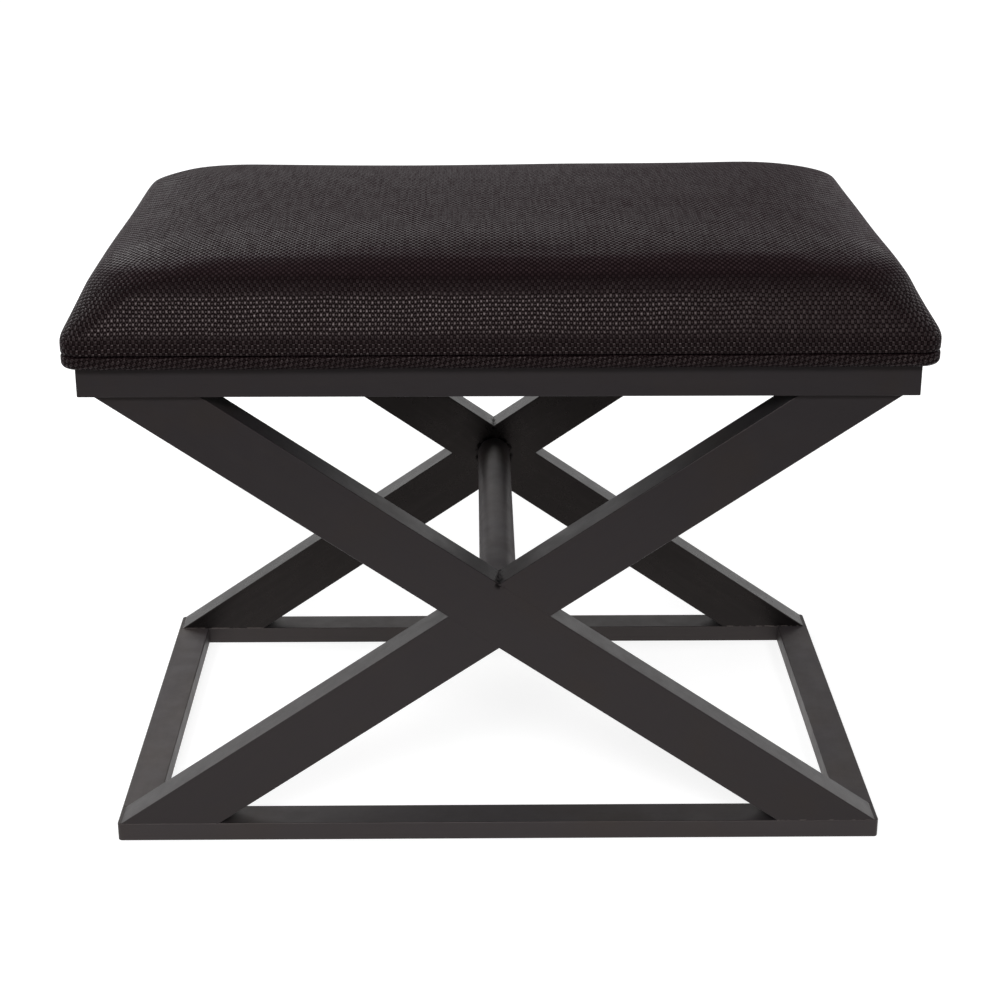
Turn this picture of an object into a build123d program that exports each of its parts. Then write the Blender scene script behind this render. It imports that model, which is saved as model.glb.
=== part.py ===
from build123d import *
import os
from math import asin, cos, degrees, hypot, radians, sin, sqrt

# Upholstered bench stool with crossed legs
# Millimetres, Z up, front towards -Y, origin on the floor under the middle of the seat

# Floor frame
base_width = 576.0
base_depth = 382.0
base_rail_height = 14.5
base_corner_radius = 3.0

# Timber of the legs and the floor frame
stock_thickness = 27.0
edge_round = 0.8

# Crossed legs
leg_width = 42.0
leg_rise = 339.5
leg_tip_inset = 3.0
lap_clearance = 0.05

# Stretcher
stretcher_diameter = 28.0
socket_depth = 10.0
socket_clearance = 0.15
socket_end_gap = 0.5

# Apron
apron_height = 23.0
apron_rail_width = 46.0
apron_side_overhang = 8.0
apron_front_overhang = 6.0

# Layers under the seat
dust_cover_thickness = 0.5
fabric_thickness = 1.2
board_thickness = 12.0
board_corner_radius = 3.0
soft_gap = 0.3

# Seat outline and its piping
seat_side_overhang = 8.0
seat_front_overhang = 10.0
piping_diameter = 9.5
flange_width = 17.0
margin_width = 18.0
dust_cover_inset = 12.0

# Cushion form
tuck_radius = 5.0
tuck_angle = 40.0
side_radius = 68.0
side_lean = 41.0
edge_radius = 13.0
crown_start_angle = 83.0
crown_rise = 10.5
crown_ridge_depth = 90.0
corner_growth = 2.4
largest_corner_radius = 75.0
ridge_corner_share = 0.45
side_steps = 6
edge_steps = 5
crown_steps = 6
wadding_thickness = 6.0

# Wood screws
screw_diameter = 4.0
screw_head_diameter = 8.0
screw_head_height = 2.2
screw_tip_length = 4.0
screw_sink = 1.0
screw_clearance = 0.1
cross_recess_length = 4.4
cross_recess_width = 0.9
cross_recess_depth = 1.5
leg_screw_bite = 22.0
leg_screw_from_heel = 12.0
leg_screw_spacing = 18.0
seat_screw_bite = 7.0
seat_screw_spacing = 240.0

# Dowels
dowel_clearance = 0.1
dowel_end_gap = 0.5
base_dowel_diameter = 6.0
base_dowel_length = 30.0
base_dowel_spacing = 13.0
apron_dowel_diameter = 8.0
apron_dowel_length = 40.0
apron_dowel_spacing = 24.0

# Staples
staple_crown = 10.0
staple_wire = 0.5
staple_leg = 8.0
staple_clearance = 0.05
cover_staple_from_board_edge = 5.0
cover_staple_spacing = 76.0
dust_staple_from_edge = 10.0
dust_staple_spacing = 110.0

# Heights, from the floor up
leg_foot = base_rail_height
leg_head = leg_foot + leg_rise
seat_bottom = leg_head + apron_height
flange_bottom = seat_bottom + dust_cover_thickness
margin_bottom = flange_bottom + fabric_thickness
board_bottom = margin_bottom + fabric_thickness
board_top = board_bottom + board_thickness
piping_height = seat_bottom + soft_gap + piping_diameter / 2
seam_height = piping_height + piping_diameter / 2 + soft_gap
widest_height = seam_height + tuck_radius * sin(radians(tuck_angle))

# Widths and depths, from the frame outwards
leg_span = base_width - 2 * leg_tip_inset
apron_width = leg_span + 2 * apron_side_overhang
apron_depth = base_depth + 2 * apron_front_overhang
seat_width = apron_width + 2 * seat_side_overhang
seat_depth = apron_depth + 2 * seat_front_overhang

# Insets from the seat's outline to the layers behind the piping
wrap_inset = piping_diameter + soft_gap
board_inset = wrap_inset + fabric_thickness + soft_gap
seat_corner_radius = board_corner_radius + board_inset
seam_inset = tuck_radius * (1 - cos(radians(tuck_angle)))

# Length of a leg's level end cut, for the leg's width square to its slope
leg_cut = leg_width * (
    sqrt(leg_width**2 * leg_span**2 + (leg_rise**2 - leg_width**2) * (leg_span**2 + leg_rise**2))
    - leg_width * leg_span
) / (leg_rise**2 - leg_width**2)
leg_cut_per_width = hypot(leg_span - leg_cut, leg_rise) / leg_rise

# Seen from outside, the front cross looks along +Y and the back cross along -Y
front_face = Plane(origin=(0, -base_depth / 2, 0), x_dir=(1, 0, 0), z_dir=(0, -1, 0))
back_face = Plane(origin=(0, base_depth / 2, 0), x_dir=(-1, 0, 0), z_dir=(0, 1, 0))

os.makedirs("parts", exist_ok=True)


def save(piece, name):
    """Label a finished piece and write it under its node's name."""
    piece.label = name
    export_step(piece, f"parts/{name}.step")


def draw_leg(side, spare=0.0, mode=Mode.ADD):
    """Slanted outline of the leg whose foot is on the left (-1) or right (1), widened by spare."""
    tip = side * (leg_span / 2 + spare * leg_cut_per_width)
    heel = side * (leg_span / 2 - leg_cut - spare * leg_cut_per_width)
    Polygon((tip, leg_foot), (heel, leg_foot), (-tip, leg_head), (-heel, leg_head), align=None, mode=mode)


def draw_seat_outline(inset, corner_radius=None, mode=Mode.ADD):
    """Outline that runs inside the seat's own outline, with its corners rounded where room is left."""
    radius = seat_corner_radius - inset if corner_radius is None else corner_radius
    if radius > 0:
        RectangleRounded(seat_width - 2 * inset, seat_depth - 2 * inset, radius, mode=mode)
    else:
        Rectangle(seat_width - 2 * inset, seat_depth - 2 * inset, mode=mode)


def draw_ring(outer_inset, inner_inset):
    """Flat ring between two insets of the seat's outline."""
    draw_seat_outline(outer_inset)
    draw_seat_outline(inner_inset, mode=Mode.SUBTRACT)


def cushion_levels(depth, bottom):
    """Height and inset of the cushion's outlines from bottom to crown, at a depth under its skin."""
    side_arc = side_radius - depth
    first_angle = degrees(asin(max(bottom - widest_height, 0.0) / side_arc))
    levels = []
    for step in range(side_steps + 1):
        angle = radians(first_angle + (side_lean - first_angle) * step / side_steps)
        levels.append((widest_height + side_arc * sin(angle), side_radius - side_arc * cos(angle)))
    levels[0] = (max(bottom, widest_height), levels[0][1])
    lean = radians(side_lean)
    edge_arc = edge_radius - depth
    edge_height = widest_height + (side_radius - edge_radius) * sin(lean)
    edge_inset = side_radius - (side_radius - edge_radius) * cos(lean)
    for step in range(1, edge_steps + 1):
        angle = radians(side_lean + (crown_start_angle - side_lean) * step / edge_steps)
        levels.append((edge_height + edge_arc * sin(angle), edge_inset - edge_arc * cos(angle)))
    crown_height, crown_inset = levels[-1]
    crown_run = (seat_depth - crown_ridge_depth) / 2 - crown_inset
    for step in range(1, crown_steps + 1):
        share = step / crown_steps
        levels.append((crown_height + crown_rise * (1 - (1 - share) ** 2), crown_inset + crown_run * share))
    return levels


def draw_cushion_level(inset):
    """Outline of the cushion where its side has drawn in by inset, with corners that soften upwards."""
    grown = seat_corner_radius + corner_growth * inset
    largest = min(largest_corner_radius, ridge_corner_share * (seat_depth - 2 * inset))
    draw_seat_outline(inset, min(grown, largest))


def draw_screw(length, spare):
    """Half outline of a countersunk screw with its head's face at the origin, grown by spare."""
    head = screw_head_diameter / 2 + spare
    shank = screw_diameter / 2 + spare
    Polygon(
        (0, 0),
        (head, 0),
        (shank, screw_head_height),
        (shank, length - screw_tip_length),
        (0, length + spare),
        align=None,
    )


def wood_screw(length):
    """Countersunk screw with a cross recess, its head's face at the origin and its point up."""
    with BuildPart() as screw:
        with BuildSketch(Plane.XZ):
            draw_screw(length, 0.0)
        revolve(axis=Axis.Z)
        with BuildSketch():
            Rectangle(cross_recess_length, cross_recess_width)
            Rectangle(cross_recess_width, cross_recess_length)
        extrude(amount=cross_recess_depth, mode=Mode.SUBTRACT)
    return screw.part


def screw_hole(length):
    """Hole for a wood screw whose head sits below the surface."""
    with BuildPart() as hole:
        with BuildSketch(Plane.XZ):
            draw_screw(length, screw_clearance)
        revolve(axis=Axis.Z)
        with BuildSketch():
            Circle(screw_head_diameter / 2 + screw_clearance)
        extrude(amount=-screw_sink)
    return hole.part


def staple_places(inset, spacing):
    """Even places along the four sides of the seat at an inset, each turned along its side."""
    places = []
    for length, reach, turn in ((seat_width, seat_depth, 0), (seat_depth, seat_width, 90)):
        run = length - 2 * inset - 2 * staple_crown
        gaps = max(1, int(run // spacing))
        for number in range(gaps + 1):
            along = run * (number / gaps - 0.5)
            for side in (-1, 1):
                across = side * (reach / 2 - inset)
                spot = (along, across) if turn == 0 else (across, along)
                places.append(Location((spot[0], spot[1], 0), (0, 0, turn)))
    return places


def staple_group(places, bottom, spare=0.0):
    """Staples with their crowns at a height and their legs up; with spare, the pockets that they sit in."""
    wire = staple_wire + 2 * spare
    with BuildPart() as group:
        with BuildSketch(Plane.XY.offset(bottom)):
            with Locations(*places):
                Rectangle(staple_crown + 2 * spare, wire)
        extrude(amount=staple_wire)
        with BuildSketch(Plane.XY.offset(bottom)):
            with Locations(*places):
                with GridLocations(staple_crown - staple_wire, 0, 2, 1):
                    Rectangle(wire, wire)
        extrude(amount=staple_leg + spare)
    return group.part


def dowel_group(places, diameter, length):
    """Dowels that lie front to back, centred on their places."""
    with BuildPart() as group:
        with Locations(*places):
            Cylinder(diameter / 2, length, rotation=(90, 0, 0))
    return group.part


def four_corners(x, y):
    """The spots at x and y on both sides, front and back."""
    return [(side * x, end * y) for side in (-1, 1) for end in (-1, 1)]


# Screws through the base rails and the apron into the ends of the legs
heel_x = leg_span / 2 - leg_cut
leg_middle_y = (base_depth - stock_thickness) / 2
leg_screw_spots = []
for number in range(2):
    leg_screw_x = heel_x + leg_screw_from_heel + number * leg_screw_spacing
    leg_screw_spots += four_corners(leg_screw_x, leg_middle_y)
foot_screw_places = [Location((x, y, screw_sink)) for x, y in leg_screw_spots]
head_screw_places = [Location((x, y, seat_bottom - screw_sink), (180, 0, 0)) for x, y in leg_screw_spots]
foot_screw_length = base_rail_height - screw_sink + leg_screw_bite
head_screw_length = apron_height - screw_sink + leg_screw_bite

# Screws through the apron into the seat board
apron_side_x = (apron_width - apron_rail_width) / 2
apron_end_y = (apron_depth - apron_rail_width) / 2
seat_screw_spots = four_corners(seat_screw_spacing / 2, apron_end_y)
seat_screw_spots += [(-apron_side_x, 0), (apron_side_x, 0)]
seat_screw_places = [Location((x, y, leg_head + screw_sink)) for x, y in seat_screw_spots]
seat_screw_length = board_bottom - leg_head - screw_sink + seat_screw_bite

# Dowels in the corners of the floor frame and of the apron
base_side_x = (base_width - stock_thickness) / 2
base_joint_y = base_depth / 2 - stock_thickness
apron_joint_y = apron_depth / 2 - apron_rail_width
base_dowel_places = []
apron_dowel_places = []
for side in (-1, 1):
    base_dowel_x = base_side_x + side * base_dowel_spacing / 2
    base_dowel_places += [(x, y, base_rail_height / 2) for x, y in four_corners(base_dowel_x, base_joint_y)]
    apron_dowel_x = apron_side_x + side * apron_dowel_spacing / 2
    apron_middle = leg_head + apron_height / 2
    apron_dowel_places += [(x, y, apron_middle) for x, y in four_corners(apron_dowel_x, apron_joint_y)]

# Fasteners
for name, length, places in (
    ("leg_foot_screws", foot_screw_length, foot_screw_places),
    ("leg_top_screws", head_screw_length, head_screw_places),
    ("seat_screws", seat_screw_length, seat_screw_places),
):
    screw = wood_screw(length)
    with BuildPart() as screws:
        with Locations(*places):
            add(screw)
    save(screws.part, name)

cover_staple_places = staple_places(board_inset + cover_staple_from_board_edge, cover_staple_spacing)
dust_staple_places = staple_places(dust_cover_inset + dust_staple_from_edge, dust_staple_spacing)
save(dowel_group(base_dowel_places, base_dowel_diameter, base_dowel_length), "base_corner_dowels")
save(dowel_group(apron_dowel_places, apron_dowel_diameter, apron_dowel_length), "apron_corner_dowels")
save(staple_group(cover_staple_places, flange_bottom), "cover_staples")
save(staple_group(dust_staple_places, seat_bottom), "dust_cover_staples")

# Holes and pockets that take the fasteners
foot_screw_hole = screw_hole(foot_screw_length)
head_screw_hole = screw_hole(head_screw_length)
seat_screw_hole = screw_hole(seat_screw_length)
base_dowel_holes = dowel_group(
    base_dowel_places, base_dowel_diameter + 2 * dowel_clearance, base_dowel_length + 2 * dowel_end_gap
)
apron_dowel_holes = dowel_group(
    apron_dowel_places, apron_dowel_diameter + 2 * dowel_clearance, apron_dowel_length + 2 * dowel_end_gap
)
cover_staple_pockets = staple_group(cover_staple_places, flange_bottom, staple_clearance)
dust_staple_pockets = staple_group(dust_staple_places, seat_bottom, staple_clearance)

# Floor frame: the front and back rails run the whole width
for name, side in (("base_front_rail", -1), ("base_back_rail", 1)):
    with BuildPart() as rail:
        with BuildSketch() as outline:
            with Locations((0, side * leg_middle_y)):
                Rectangle(base_width, stock_thickness)
            fillet(outline.vertices().sort_by(Axis.Y)[::side][-2:], base_corner_radius)
        extrude(amount=base_rail_height)
        fillet(rail.edges().filter_by(Axis.Z, reverse=True), edge_round)
        with Locations(*foot_screw_places):
            add(foot_screw_hole, mode=Mode.SUBTRACT)
        add(base_dowel_holes, mode=Mode.SUBTRACT)
    save(rail.part, name)

# Floor frame: the side rails butt between them
for name, side in (("base_left_rail", -1), ("base_right_rail", 1)):
    with BuildPart() as rail:
        with BuildSketch():
            with Locations((side * base_side_x, 0)):
                Rectangle(stock_thickness, 2 * base_joint_y)
        extrude(amount=base_rail_height)
        fillet(rail.edges().filter_by(Axis.Y), edge_round)
        add(base_dowel_holes, mode=Mode.SUBTRACT)
    save(rail.part, name)

# Crossed legs: in each pair the outer leg is cut away behind the crossing and the inner leg before it
for name, face, side, outer in (
    ("front_left_leg", front_face, -1, False),
    ("front_right_leg", front_face, 1, True),
    ("back_right_leg", back_face, -1, False),
    ("back_left_leg", back_face, 1, True),
):
    lap_face = face.offset(-stock_thickness / 2)
    whole_layer, notched_layer = (face, lap_face) if outer else (lap_face, face)
    with BuildPart() as leg:
        with BuildSketch(face):
            draw_leg(-1)
            draw_leg(1)
        extrude(amount=-stock_thickness)
        fillet(leg.edges().filter_by(Axis.Y, reverse=True).filter_by(Axis.X, reverse=True), edge_round)
        with BuildSketch(whole_layer):
            draw_leg(-side, lap_clearance)
            draw_leg(side, mode=Mode.SUBTRACT)
        extrude(amount=-stock_thickness / 2, mode=Mode.SUBTRACT)
        with BuildSketch(notched_layer):
            draw_leg(-side, lap_clearance)
        extrude(amount=-stock_thickness / 2, mode=Mode.SUBTRACT)
        with Locations(*foot_screw_places):
            add(foot_screw_hole, mode=Mode.SUBTRACT)
        with Locations(*head_screw_places):
            add(head_screw_hole, mode=Mode.SUBTRACT)
        with BuildSketch(face.offset(-stock_thickness)):
            with Locations((0, (leg_foot + leg_head) / 2)):
                Circle(stretcher_diameter / 2 + socket_clearance)
        extrude(amount=socket_depth, mode=Mode.SUBTRACT)
    save(leg.part, name)

# Round stretcher from one crossing to the other
with BuildPart() as stretcher:
    with BuildSketch(Plane.XZ):
        with Locations((0, (leg_foot + leg_head) / 2)):
            Circle(stretcher_diameter / 2)
    extrude(amount=base_joint_y + socket_depth - socket_end_gap, both=True)
save(stretcher.part, "stretcher")

# Apron: the front and back rails run the whole width
for name, side in (("apron_front_rail", -1), ("apron_back_rail", 1)):
    with BuildPart() as rail:
        with BuildSketch(Plane.XY.offset(leg_head)):
            with Locations((0, side * apron_end_y)):
                Rectangle(apron_width, apron_rail_width)
        extrude(amount=apron_height)
        fillet(rail.edges(), edge_round)
        with Locations(*head_screw_places):
            add(head_screw_hole, mode=Mode.SUBTRACT)
        with Locations(*seat_screw_places):
            add(seat_screw_hole, mode=Mode.SUBTRACT)
        add(apron_dowel_holes, mode=Mode.SUBTRACT)
    save(rail.part, name)

# Apron: the side rails butt between them
for name, side in (("apron_left_rail", -1), ("apron_right_rail", 1)):
    with BuildPart() as rail:
        with BuildSketch(Plane.XY.offset(leg_head)):
            with Locations((side * apron_side_x, 0)):
                Rectangle(apron_rail_width, 2 * apron_joint_y)
        extrude(amount=apron_height)
        fillet(rail.edges().filter_by(Axis.Y), edge_round)
        with Locations(*seat_screw_places):
            add(seat_screw_hole, mode=Mode.SUBTRACT)
        add(apron_dowel_holes, mode=Mode.SUBTRACT)
    save(rail.part, name)

# Dust cover: a thin sheet between the apron and the turned-in fabric
with BuildPart() as dust_cover:
    with BuildSketch(Plane.XY.offset(seat_bottom)):
        draw_seat_outline(dust_cover_inset)
    extrude(amount=dust_cover_thickness)
    with Locations(*seat_screw_places):
        add(seat_screw_hole, mode=Mode.SUBTRACT)
    add(dust_staple_pockets, mode=Mode.SUBTRACT)
save(dust_cover.part, "dust_cover")

# Seat board
with BuildPart() as seat_board:
    with BuildSketch(Plane.XY.offset(board_bottom)):
        draw_seat_outline(board_inset)
    extrude(amount=board_thickness)
    with Locations(*seat_screw_places):
        add(seat_screw_hole, mode=Mode.SUBTRACT)
    add(cover_staple_pockets, mode=Mode.SUBTRACT)
    add(dust_staple_pockets, mode=Mode.SUBTRACT)
save(seat_board.part, "seat_board")

# Piping: a cord in a fabric tube, whose flange is stapled under the board
piping_inset = piping_diameter / 2
cord_diameter = piping_diameter - 2 * fabric_thickness - 2 * soft_gap
with BuildSketch(Plane.XY.offset(piping_height)) as piping_outline:
    draw_seat_outline(piping_inset)
piping_path = piping_outline.sketch.face().outer_wire()
piping_start = Plane(origin=piping_path @ 0, z_dir=piping_path % 0)

with BuildPart() as piping_cord:
    with BuildSketch(piping_start):
        Circle(cord_diameter / 2)
    sweep(path=piping_path)
save(piping_cord.part, "piping_cord")

with BuildPart() as piping_cover:
    with BuildSketch(piping_start):
        Circle(piping_diameter / 2)
    sweep(path=piping_path)
    with BuildSketch(Plane.XY.offset(flange_bottom)):
        draw_ring(piping_inset, piping_inset + flange_width)
    extrude(amount=fabric_thickness)
    with BuildSketch(piping_start):
        Circle(cord_diameter / 2 + soft_gap)
    sweep(path=piping_path, mode=Mode.SUBTRACT)
    add(cover_staple_pockets, mode=Mode.SUBTRACT)
    add(dust_staple_pockets, mode=Mode.SUBTRACT)
save(piping_cover.part, "piping_cover")

# Seat cover: drawn in at the seam, leaning sides, rounded edge and crowned top, turned in under the board
with BuildPart() as seat_cover:
    with BuildSketch(Plane.XY.offset(seam_height)):
        draw_cushion_level(seam_inset)
    for height, inset in cushion_levels(0.0, widest_height):
        with BuildSketch(Plane.XY.offset(height)):
            draw_cushion_level(inset)
    loft(ruled=True)
    with BuildSketch(Plane.XY.offset(seam_height)):
        draw_cushion_level(seam_inset + fabric_thickness)
    for height, inset in cushion_levels(fabric_thickness, widest_height):
        with BuildSketch(Plane.XY.offset(height)):
            draw_cushion_level(inset)
    loft(ruled=True, mode=Mode.SUBTRACT)
    with BuildSketch(Plane.XY.offset(seam_height)):
        draw_ring(seam_inset + fabric_thickness / 2, wrap_inset + fabric_thickness)
    extrude(amount=fabric_thickness)
    with BuildSketch(Plane.XY.offset(margin_bottom)):
        draw_ring(wrap_inset, wrap_inset + fabric_thickness)
    extrude(amount=seam_height + fabric_thickness - margin_bottom)
    with BuildSketch(Plane.XY.offset(margin_bottom)):
        draw_ring(wrap_inset, wrap_inset + margin_width)
    extrude(amount=fabric_thickness)
    add(cover_staple_pockets, mode=Mode.SUBTRACT)
    add(dust_staple_pockets, mode=Mode.SUBTRACT)
save(seat_cover.part, "seat_cover")

# Wadding over the foam, both standing on the board
wadding_depth = fabric_thickness + soft_gap
foam_depth = wadding_depth + wadding_thickness + soft_gap
with BuildPart() as seat_wadding:
    for height, inset in cushion_levels(wadding_depth, board_top):
        with BuildSketch(Plane.XY.offset(height)):
            draw_cushion_level(inset)
    loft(ruled=True)
    for height, inset in cushion_levels(foam_depth - soft_gap, board_top):
        with BuildSketch(Plane.XY.offset(height)):
            draw_cushion_level(inset)
    loft(ruled=True, mode=Mode.SUBTRACT)
save(seat_wadding.part, "seat_wadding")

with BuildPart() as seat_foam:
    for height, inset in cushion_levels(foam_depth, board_top):
        with BuildSketch(Plane.XY.offset(height)):
            draw_cushion_level(inset)
    loft(ruled=True)
save(seat_foam.part, "seat_foam")
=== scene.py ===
# Upholstered bench stool with crossed legs: soft pieces, finishes, studio and camera
# Metres, Z up, front towards -Y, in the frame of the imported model
import math

import bpy
import numpy as np
from mathutils import Matrix, Vector, noise


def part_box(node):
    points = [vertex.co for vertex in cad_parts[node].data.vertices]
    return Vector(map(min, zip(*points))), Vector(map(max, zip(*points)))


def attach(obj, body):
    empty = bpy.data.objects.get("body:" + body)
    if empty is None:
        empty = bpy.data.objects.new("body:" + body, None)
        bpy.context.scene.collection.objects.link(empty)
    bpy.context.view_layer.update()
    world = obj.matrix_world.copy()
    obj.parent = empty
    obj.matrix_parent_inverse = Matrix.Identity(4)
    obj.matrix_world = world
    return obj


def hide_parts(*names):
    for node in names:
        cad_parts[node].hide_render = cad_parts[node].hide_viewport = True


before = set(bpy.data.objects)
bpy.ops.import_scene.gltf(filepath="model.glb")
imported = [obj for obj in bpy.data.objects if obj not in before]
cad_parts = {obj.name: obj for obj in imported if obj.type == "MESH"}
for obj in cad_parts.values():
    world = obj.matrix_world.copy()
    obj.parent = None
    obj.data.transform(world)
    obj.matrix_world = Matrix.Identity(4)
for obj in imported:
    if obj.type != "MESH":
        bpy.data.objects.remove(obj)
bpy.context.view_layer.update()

# Layers of the seat
fabric = 0.0012
soft_gap = 0.0003
wadding = 0.006
margin_width = 0.018
flange_width = 0.017
board_corner_radius = 0.003

# Cushion form
tuck_radius = 0.020
tuck_angle = math.radians(23.6)
tuck_draw = 0.0002
side_radius = 0.018
side_lean = math.radians(25)
side_run = 0.025
edge_radius = 0.026
crown_start_angle = math.radians(75)
crown_rise = 0.0105
crown_fullness = 3.5
crown_ridge_depth = 0.090
corner_growth = 1.8
largest_corner_radius = 0.060
smallest_corner_radius = 0.0004

# Mesh of the soft pieces
long_cells = 60
short_cells = 44
corner_cells = 7
tuck_steps = 4
side_steps = 4
run_steps = 5
edge_steps = 8
crown_steps = 4
crown_rim = 0.022
dart_ease = 0.060
flat_middle = 0.5
strip_spacing = 0.2
crown_smoothing = 30
bead_steps = 20
bead_top_squareness = 0.26
bead_low_squareness = 0.85
strand_sides = 8
strand_steps = 900

# Unevenness that hand upholstery leaves in the cover and its piping
cover_swell = 0.0010
cover_swell_scale = 9.0
seam_flare_left = 0.0018
seam_flare_right = 0.0042
flare_fade = 0.030
flare_power = 6
shoulder_draw_left = -0.0010
shoulder_draw_right = -0.0003
crown_tilt = 0.0016
back_corner_lift = 0.0029
left_corner_sink = 0.0032
left_corner_across = (0.82, 0.97)
left_corner_deep = (0.6, 0.9)
seam_droop = 0.0015
droop_inset = 0.005
piping_swell = 0.00022
piping_swell_scale = 38.0
piping_wander = 0.00025
piping_wander_scale = 9.0

# Simulated settling of the cover over its filling
settle_frames = 20
settle_sink = 0.0002
settle_rise = 0.0020
settle_pressure = 0.10
cloth_quality = 6
cloth_stiffness = 80.0
cloth_bending = 5.0

# Weave of the cover: spacing of its threads across the seat and from front to back, and their wandering
warp_pitch = 0.00206
weft_pitch = 0.00300
warp_wander = 1.6
weft_wander = 1.2

# Cord inside the piping, laid from strands
strand_count = 3
strand_radius = 0.00150
strand_offset = 0.00172
strand_lay = 0.020

# Dust cover under the seat
dust_cover_thickness = 0.0005
dust_cover_sag = 0.003
dust_corner_radius = 0.0023

# Crossed legs: their slope and the width of their boards
leg_slope = math.radians(34.4)
leg_width = 0.042

# Camera at the photograph's place: position, heading and focal length on its sensor
camera_place = Vector((-0.019391, -1.548445, 0.792733))
camera_yaw = math.radians(0.833)
camera_pitch = math.radians(20.876)
camera_roll = math.radians(-0.116)
camera_lens = 73.604
camera_sensor = 36.0

# Measures read from the frame
_, cover_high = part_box("seat_cover")
piping_low, piping_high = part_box("piping_cover")
board_low, board_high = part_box("seat_board")
_, dust_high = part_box("dust_cover")
leg_low, leg_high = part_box("front_left_leg")
stretcher_low, stretcher_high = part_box("stretcher")
half_width = cover_high.x
half_depth = cover_high.y
piping_radius = (piping_high.z - piping_low.z) / 2
piping_height = piping_low.z + piping_radius
seam_height = piping_high.z + soft_gap
widest_height = seam_height + tuck_radius * math.sin(tuck_angle)
wrap_inset = 2 * piping_radius + soft_gap
seat_corner_radius = board_corner_radius + wrap_inset + fabric + soft_gap

# Directions along each side of the seat and outwards from it, going round from the front
sides = (
    (np.array((1, 0)), np.array((0, -1))),
    (np.array((0, 1)), np.array((1, 0))),
    (np.array((-1, 0)), np.array((0, 1))),
    (np.array((0, -1)), np.array((-1, 0))),
)
side_cells = (long_cells, short_cells, long_cells, short_cells)
side_halves = ((half_width, half_depth), (half_depth, half_width)) * 2
ring_count = sum(side_cells)
inside_count = (long_cells - 1) * (short_cells - 1)


# Outlines and meshes of the soft pieces

def outline_radius(inset):
    """Corner radius of the seat's outline at an inset, for the flat layers."""
    return max(seat_corner_radius - inset, smallest_corner_radius)


def cushion_radius(inset):
    """Corner radius of the cushion where its side has drawn in by inset."""
    return min(seat_corner_radius + corner_growth * inset, largest_corner_radius)


def side_points(side, inset, radius):
    """One side of a rounded outline, between the middles of its corners: place along it, out, and turn."""
    half_along, half_out = side_halves[side]
    straight_cells = side_cells[side] - 2 * corner_cells
    reach = half_along - inset - radius
    corner_turn = np.linspace(0, math.pi / 4, corner_cells + 1)[1:]
    turn = np.concatenate([-corner_turn[::-1], np.zeros(straight_cells + 1), corner_turn])
    middle = np.concatenate([
        np.full(corner_cells, -reach),
        np.linspace(-reach, reach, straight_cells + 1),
        np.full(corner_cells, reach),
    ])
    along = middle + radius * np.sin(turn)
    out = half_out - inset - radius + radius * np.cos(turn)
    return along, out, turn, middle


def ring_points(inset, height, radius):
    """Points of one rounded outline of the seat, going round once from the front left corner."""
    points = []
    for side, (ahead, outward) in enumerate(sides):
        along, out, _, _ = side_points(side, inset, radius)
        flat = along[:-1, None] * ahead + out[:-1, None] * outward
        points.append(np.column_stack([flat, np.full(len(flat), height)]))
    return np.concatenate(points)


def grid_points(ring):
    """Rows of points that fill a ring, between its front and back sides."""
    corners = np.cumsum((0,) + side_cells)
    whole = np.concatenate([ring, ring[:1]])
    front, right, back, left = (whole[corners[n]:corners[n + 1] + 1] for n in range(4))
    back, left = back[::-1], left[::-1]
    u = ((front[:, 0] - front[0, 0]) / (front[-1, 0] - front[0, 0]))[None, :, None]
    v = ((left[:, 1] - left[0, 1]) / (left[-1, 1] - left[0, 1]))[:, None, None]
    between_long = (1 - v) * front[None] + v * back[None]
    between_short = (1 - u) * left[:, None] + u * right[:, None]
    front_corners = (1 - u) * front[0] + u * front[-1]
    back_corners = (1 - u) * back[0] + u * back[-1]
    between_corners = (1 - v) * front_corners + v * back_corners
    return between_long + between_short - between_corners


def grid_numbers(first_of_ring, first_inside):
    """Vertex numbers of a grid whose rim is a ring and whose inside points follow row by row."""
    rows, columns = short_cells + 1, long_cells + 1
    numbers = np.zeros((rows, columns), int)
    numbers[0, :] = np.arange(columns)
    numbers[:, -1] = long_cells + np.arange(rows)
    numbers[-1, ::-1] = long_cells + short_cells + np.arange(columns)
    numbers[::-1, 0] = (2 * long_cells + short_cells + np.arange(rows)) % ring_count
    numbers += first_of_ring
    numbers[1:-1, 1:-1] = first_inside + np.arange(inside_count).reshape(rows - 2, columns - 2)
    return numbers


def grid_faces(numbers):
    """Quads of a grid of vertex numbers, facing up."""
    quads = np.stack([numbers[:-1, :-1], numbers[:-1, 1:], numbers[1:, 1:], numbers[1:, :-1]], axis=-1)
    return quads.reshape(-1, 4)


def flat_lengths(levels):
    """Length of the profile from each level on to the last one."""
    places = np.array([level[:2] for level in levels])
    steps = np.hypot(*np.diff(places, axis=0).T)
    return np.concatenate([np.cumsum(steps[::-1])[::-1], [0]])


def cover_flat(side, level, levels, lengths):
    """Places of a level's points on the flat cut cloth, which has a dart at each corner."""
    inset, _, radius = levels[level]
    top_inset, _, top_radius = levels[-1]
    _, half_out = side_halves[side]
    _, _, turn, middle = side_points(side, inset, radius)
    fade = max(0.0, 1 - lengths[level] / dart_ease)
    fade = fade * fade * (3 - 2 * fade)
    along = middle + radius * (turn + (np.sin(turn) - turn) * fade)
    out = half_out - top_inset + lengths[level] - top_radius * (1 - np.cos(turn)) * fade
    ahead, outward = sides[side]
    return flat_middle + along[:, None] * ahead + out[:, None] * outward


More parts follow.
